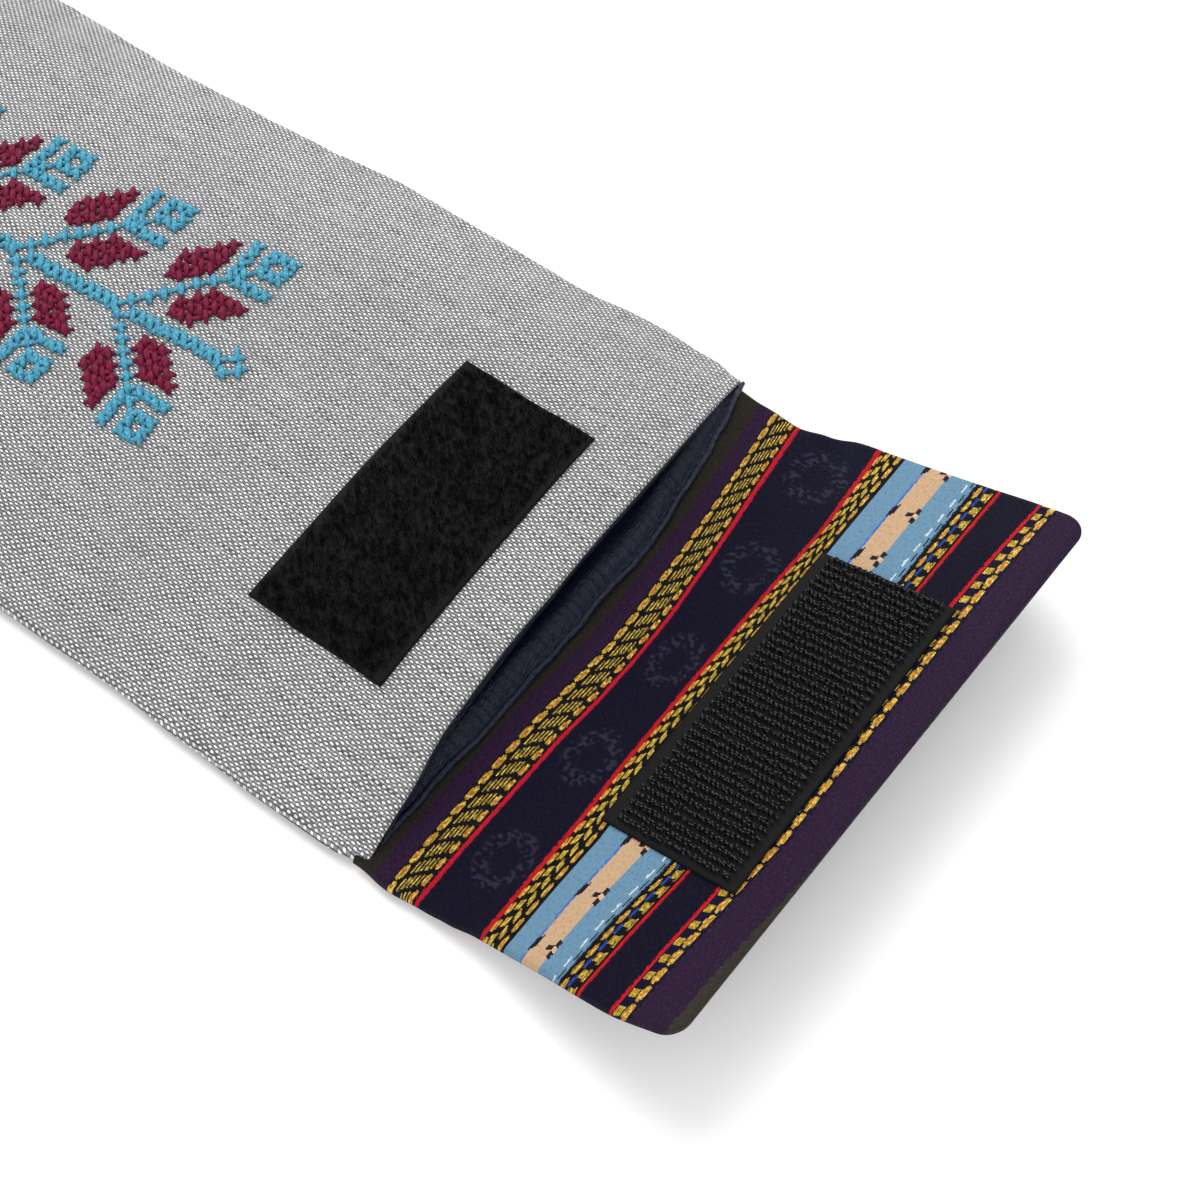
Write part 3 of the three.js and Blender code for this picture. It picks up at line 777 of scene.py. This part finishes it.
stitches = {"turquoise": [], "maroon": []}
nodes = [FIRST_NODE - STEM_REPEAT * CELL * i for i in range(4)]
for node_y in nodes:
    for mirror in (-1, 1):
        for thread, cells in sprig.items():
            stitches[thread] += [stitch_place(mirror * a, node_y, b) for a, b in cells]
    stitches["turquoise"] += [stitch_place(0, node_y, b) for b in range(1, STEM_REPEAT)]
    stitches["turquoise"].append(stitch_place(0, node_y, -1))
finial_y = FIRST_NODE + STEM_REPEAT * CELL
stitches["turquoise"] += [stitch_place(a, finial_y, b) for a, b in ((-1, 0), (1, 0), (0, 1))]
print({thread: len(found) for thread, found in stitches.items()})

# %% [markdown]
# ### Stranded cotton
# Six fine strands with little twist lie side by side, with a soft silk-like sheen from mercerising.
# Light falls off quickly into the dark between stitches. The thread's lighter and darker tones are
# partly tone from strand to strand and partly painted highlight and painted shade.

# %% Embroidery thread materials


def thread_material(name, dark, light):
    material, surface = new_material(
        name, Roughness=0.55, Specular_IOR_Level=0.15, IOR=1.53
    )
    place, across, _ = flat_place(material)
    # Partly tone from strand to strand, partly painted light: the light tone is painted highlight, the
    # dark tone painted shade.
    strand_tone_and_painted_light = add(material, "TexNoise", place, None, 2.2, 3.0, 0.7)
    share = add(material, "MapRange", strand_tone_and_painted_light, 0.3, 0.7, 0.0, 1.0)
    colour = mixed(material, share, linear(dark), linear(light))
    material.node_tree.links.new(colour, surface.inputs["Base Color"])
    ply = add(material, "Math", across, 2 * math.pi / 0.2, operation="MULTIPLY")
    wave = add(material, "Math", ply, operation="SINE")
    bump = add(material, "Bump", 0.35, 0.0001, None, wave)
    material.node_tree.links.new(bump, surface.inputs["Normal"])
    return material


turquoise_cotton = thread_material("stranded_cotton_turquoise", "#125672", "#62B6D0")
maroon_cotton = thread_material("stranded_cotton_maroon", "#2C0212", "#8A1440")

# %% Cross-stitches as one joined mesh


def bars(name, starts, ends, width, height, sag, material):
    """Many short rounded bars of thread, each lying from a start to an end, joined in one mesh."""
    steps = np.linspace(0, 1, 6)
    ring = np.linspace(0, 2 * math.pi, 7)[:-1]
    points, flats, faces = [], [], []
    for start, end in zip(starts, ends):
        direction = end - start
        run = np.linalg.norm(direction[:2])
        side_way = np.array([-direction[1], direction[0], 0.0]) / run
        twist = rng.uniform(0.85, 1.15)
        offset = len(points)
        for step in steps:
            body = math.sin(math.pi * min(max(step, 0.04), 0.96)) ** 0.35
            centre = start + direction * step
            centre[2] += sag * math.sin(math.pi * step)
            for angle in ring:
                out = side_way * math.cos(angle) * width / 2 * body * twist
                up = np.array([0, 0, math.sin(angle) * height / 2 * body])
                points.append(centre + out + up)
                flats.append([math.cos(angle) * width / 2, run * step + start[0] * 3 + start[1]])
        for i in range(len(steps) - 1):
            for j in range(6):
                a, b = offset + i * 6 + j, offset + i * 6 + (j + 1) % 6
                faces.append((a, b, b + 6, a + 6))
        faces.append(tuple(offset + j for j in range(5, -1, -1)))
        faces.append(tuple(offset + 30 + j for j in range(6)))
    mesh = bpy.data.meshes.new(name)
    mesh.from_pydata(to_frame(points), [], faces)
    place = mesh.attributes.new("cloth_mm", "FLOAT_VECTOR", "POINT")
    flat3 = np.zeros((len(points), 3), np.float32)
    flat3[:, :2] = flats
    place.data.foreach_set("vector", flat3.ravel())
    mesh.shade_smooth()
    mesh.materials.append(material)
    piece = bpy.data.objects.new(name, mesh)
    bpy.context.collection.objects.link(piece)
    print(name, "has", len(starts), "bars and", len(faces), "faces")
    return piece


def cross_stitches(name, cells, material):
    starts, ends = [], []
    for x, y, pitch in cells:
        half_x, half_y = pitch / 2 * OVERLAP, CELL / 2 * OVERLAP
        shift = rng.normal(0, UNEVEN, 4)
        for over, lean in ((0, -1), (1, 1)):
            for sign, kept in ((-1, starts), (1, ends)):
                px = x + sign * half_x + shift[2 * over]
                py = y + sign * lean * half_y + shift[2 * over + 1]
                kept.append(np.array([px, py, float(front_top(px, py)) + 0.10 + 0.22 * over]))
    piece = bars(name, starts, ends, THREAD_WIDTH, THREAD_HEIGHT, THREAD_ARCH, material)
    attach(piece, "root")
    return piece


cross_stitches("stitches_turquoise", stitches["turquoise"], turquoise_cotton)
cross_stitches("stitches_maroon", stitches["maroon"], maroon_cotton)

# %% [markdown]
# ## Hook-and-loop tape
# Both tapes are black nylon ribbons with a plain selvedge. The loop tape carries a felt of fine loops.
# The hook tape carries rows of stiff, shiny hooks. Both could be a bumpy texture, but their edges show
# against the cloth, so loops and hooks are bent wires. The loops are drawn coarser than real ones.

# %% Nylon materials
nylon_base, surface = new_material(
    "black_nylon_ribbon", Roughness=0.7, Specular_IOR_Level=0.12, IOR=1.53
)
place = flat_place(nylon_base)[0]
turned = add(nylon_base, "VectorMath", place, (4.0, 4.0, 0.0), operation="MULTIPLY")
grain = add(nylon_base, "TexNoise", turned, None, 1.0, 2.0, 0.6)
colour = mixed(nylon_base, grain, linear("#030304"), linear("#0F0F11"))
nylon_base.node_tree.links.new(colour, surface.inputs["Base Color"])
bump = add(nylon_base, "Bump", 0.5, 0.0002, None, grain)
nylon_base.node_tree.links.new(bump, surface.inputs["Normal"])


def filament_material(name, dark, light, roughness, gloss):
    material, surface = new_material(
        name, Roughness=roughness, Specular_IOR_Level=gloss, IOR=1.53
    )
    place = flat_place(material)[0]
    tone = add(material, "TexNoise", place, None, 0.9, 2.0, 0.6)
    colour = mixed(material, tone, linear(dark), linear(light))
    material.node_tree.links.new(colour, surface.inputs["Base Color"])
    return material


loop_nylon = filament_material("black_nylon_loops", "#010102", "#070708", 0.7, 0.05)
hook_nylon = filament_material("black_nylon_hooks", "#040405", "#0E0E10", 0.3, 0.5)

# %% Tape bases


def tape_place(u, v, centre, turn):
    cos, sin = math.cos(math.radians(turn)), math.sin(math.radians(turn))
    return centre[0] + u * cos - v * sin, centre[1] + u * sin + v * cos


def loop_seat(x, y):
    return front_top(x, y)


def hook_seat(x, y):
    side = 2 * (x - FLAP_SHIFT) / FLAP_WIDTH
    return facing_top(x, y / flap_length_at(side))


def tape_base(name, length, width, centre, turn, seat, thickness, node, slot):
    """A ribbon laid on the cloth, with its edge turned down to its seat."""
    inset = np.array([0.0, 0.0, 0.15, 0.6])
    lift = np.array([0.0, 0.7, 1.0, 1.0]) * thickness
    inner_u = np.linspace(-length / 2 + 1.2, length / 2 - 1.2, 60)
    inner_v = np.linspace(-width / 2 + 1.2, width / 2 - 1.2, 30)
    u = np.concatenate([-length / 2 + inset, inner_u, length / 2 - inset[::-1]])
    v = np.concatenate([-width / 2 + inset, inner_v, width / 2 - inset[::-1]])
    lift_u = np.concatenate([lift, np.full(60, thickness), lift[::-1]])
    lift_v = np.concatenate([lift, np.full(30, thickness), lift[::-1]])
    U, V = np.meshgrid(u, v)
    X, Y = tape_place(U, V, centre, turn)
    Z = seat(X, Y) + np.minimum(lift_u[None, :], lift_v[:, None])
    piece = cloth_sheet(name, np.stack([X, Y, Z], -1), np.stack([U, V], -1), nylon_base)
    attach(piece, "root")
    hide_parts(node)
    return piece


# Each tape: length, width, middle and turn in degrees. BASE is how thick the bare ribbon is.
BASE = 0.6
LOOP = (51.5, 25.0, (2.9, -23.3), -2.0)
HOOK = (53.6, 22.2, (1.3, 38.0), -3.8)
tape_base("loop_tape_base", *LOOP, loop_seat, BASE, "loop_patch", "loop_tape")
tape_base("hook_tape_base", *HOOK, hook_seat, BASE, "hook_patch", "hook_tape")

# %% Filaments: loops and hooks from one bent-wire helper


def filaments(name, paths, radius, sides, material):
    """Thin bent wires, all with the same number of points, as one joined mesh."""
    paths = np.asarray(paths)
    count, points_each = paths.shape[:2]
    tangent = np.gradient(paths, axis=1)
    tangent /= np.linalg.norm(tangent, axis=-1, keepdims=True)
    helper = np.where(np.abs(tangent[..., 2:]) > 0.9, [[1.0, 0, 0]], [[0, 0, 1.0]])
    first = np.cross(tangent, helper)
    first /= np.linalg.norm(first, axis=-1, keepdims=True)
    second = np.cross(tangent, first)
    angles = np.arange(sides) * 2 * math.pi / sides
    rings = paths[:, :, None] + radius * (
        first[:, :, None] * np.cos(angles)[:, None] + second[:, :, None] * np.sin(angles)[:, None]
    )
    index = np.arange(count * points_each * sides).reshape(count, points_each, sides)
    turned = np.roll(index, -1, axis=2)
    faces = np.stack([index[:, :-1], turned[:, :-1], turned[:, 1:], index[:, 1:]], -1).reshape(-1, 4)
    mesh = bpy.data.meshes.new(name)
    mesh.from_pydata(to_frame(rings.reshape(-1, 3)), [], faces.tolist())
    place = mesh.attributes.new("cloth_mm", "FLOAT_VECTOR", "POINT")
    flat3 = rings.reshape(-1, 3).astype(np.float32)
    place.data.foreach_set("vector", flat3.ravel())
    mesh.shade_smooth()
    mesh.materials.append(material)
    piece = bpy.data.objects.new(name, mesh)
    bpy.context.collection.objects.link(piece)
    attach(piece, "root")
    print(name, "has", count, "filaments and", len(faces), "faces")
    return piece


# %% Loop pile
length, width, centre, turn = LOOP
LOOP_WIRE, HOOK_WIRE = 0.04, 0.11
HOOK_ROW, HOOK_SPACE = 1.35, 0.78
count = 6300
u = rng.uniform(-length / 2 + 0.2, length / 2 - 0.2, count)
v = rng.uniform(-width / 2 + 0.9, width / 2 - 0.9, count)
heading = rng.uniform(0, 2 * math.pi, count)
loop_width = rng.uniform(0.35, 0.75, count)
loop_height = rng.uniform(0.45, 1.0, count)
lean = rng.normal(0, 0.35, (count, 2))
paths = []
for step in np.linspace(0, 1, 6):
    swing = math.pi * step
    reach = loop_width * -math.cos(swing) / 2
    lift = loop_height * math.sin(swing)
    x, y = tape_place(
        u + reach * np.cos(heading) + lean[:, 0] * lift,
        v + reach * np.sin(heading) + lean[:, 1] * lift,
        centre, turn,
    )
    paths.append(np.stack([x, y, loop_seat(x, y) + 0.55 + lift], -1))
filaments("loop_pile", np.stack(paths, 1), LOOP_WIRE, 3, loop_nylon)

# %% Hooks in rows
length, width, centre, turn = HOOK
rows_u = np.arange(-length / 2 + 0.8, length / 2 - 0.5, HOOK_ROW)
rows_v = np.arange(-width / 2 + 2.2, width / 2 - 1.9, HOOK_SPACE)
U, V, WAY = (g.ravel() for g in np.meshgrid(rows_u, rows_v, [-1.0, 1.0]))
U = U + WAY * 0.16 + rng.normal(0, 0.1, U.shape)
V = V + rng.normal(0, 0.13, V.shape)
hook_turn = rng.normal(0, 0.5, U.shape)
profile = [(-0.25, 0.0), (-0.28, 0.5), (-0.15, 0.85), (0.1, 1.0), (0.34, 0.85), (0.42, 0.55)]
paths = []
for out, lift in profile:
    x, y = tape_place(
        U + out * np.sin(hook_turn) * 0.5, V + WAY * out * np.cos(hook_turn), centre, turn
    )
    paths.append(np.stack([x, y, hook_seat(x, y) + 0.5 + lift], -1))
filaments("hook_rows", np.stack(paths, 1), HOOK_WIRE, 5, hook_nylon)

# %% [markdown]
# ## The room
# A pale table under soft light from a large window-like lamp at the far left, with a weaker one to fill.
# The camera stands high up, just outside the near corner of the flap.

# %% Table, lights and camera
table_white, surface = new_material("table_paint", Roughness=0.7, IOR=1.5)
place = add(table_white, "TexCoord", output=3)
grain = add(table_white, "TexNoise", place, None, 60.0, 2.0, 0.5)
colour = mixed(table_white, grain, linear("#F6F6F7"), linear("#FBFBFC"))
table_white.node_tree.links.new(colour, surface.inputs["Base Color"])
table_mesh = bpy.data.meshes.new("table_top")
table_mesh.from_pydata([(-2, -2, 0), (2, -2, 0), (2, 2, 0), (-2, 2, 0)], [], [(0, 1, 2, 3)])
table_mesh.materials.append(table_white)
table_top = bpy.data.objects.new("table_top", table_mesh)
table_top.location.z = -0.0003
bpy.context.collection.objects.link(table_top)
table_top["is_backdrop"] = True


def area_light(name, place, target, size, power):
    light = bpy.data.lights.new(name, "AREA")
    light.size, light.energy = size, power
    lamp = bpy.data.objects.new(name, light)
    lamp.location = place
    lamp.rotation_euler = (Vector(target) - Vector(place)).to_track_quat("-Z", "Y").to_euler()
    bpy.context.collection.objects.link(lamp)
    return lamp


area_light("key_light", (-0.45, -0.5, 0.75), (0, 0.05, 0), 0.7, 9.0)
area_light("fill_light", (0.7, 0.4, 0.7), (0, 0.05, 0), 0.8, 2.5)
world = bpy.data.worlds.new("studio")
world.use_nodes = True
world.node_tree.nodes["Background"].inputs[0].default_value = (1.0, 1.0, 1.0, 1.0)
world.node_tree.nodes["Background"].inputs[1].default_value = 0.85
bpy.context.scene.world = world
bpy.context.scene.view_settings.view_transform = "Standard"

camera_data = bpy.data.cameras.new("camera")
camera_data.lens, camera_data.sensor_width = 54.0, 36.0
camera = bpy.data.objects.new("camera", camera_data)
eye = Vector(to_frame([102.24, 76.25, 240.82]))
look = Vector(to_frame([-3.95, 3.68, 0.0]))
camera.location = eye
camera.rotation_euler = (look - eye).to_track_quat("-Z", "Y").to_euler()
camera_data.clip_start = 0.01
bpy.context.collection.objects.link(camera)
bpy.context.scene.camera = camera

# %% [markdown]
# ## What each cloth was cut to
# Cloth hardly stretches, so its flat size is the distance along it and not the size of the box round
# it. The pocket is one piece folded round into a tube.

# %% Flat sizes of the cloths, in millimetres
CUTS = [
    # piece, width, length, area, how it is held, what it rests on
    (front, 105.2, 194.9, 19658, "laid", [lining]),
    (back, 102.5, 240.4, 24092, "laid", [table_top]),
    (facing, 99.8, 65.6, 5937, "laid", [back]),
    (lining, 177.3, 171.7, 29630, "folded", [back]),
    (front_roll, 90.4, 16.1, 1434, "folded", [front]),
    (back_roll, 99.9, 22.3, None, "folded", [facing]),
]
for piece, width, length, area, held, rests_on in CUTS:
    area = area and area * 1e-6
    print(piece.name, "was cut from", width, "x", length, "mm")

low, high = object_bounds()
print("visual box, mm:", [round(1000 * c, 1) for c in (*low, *high)])
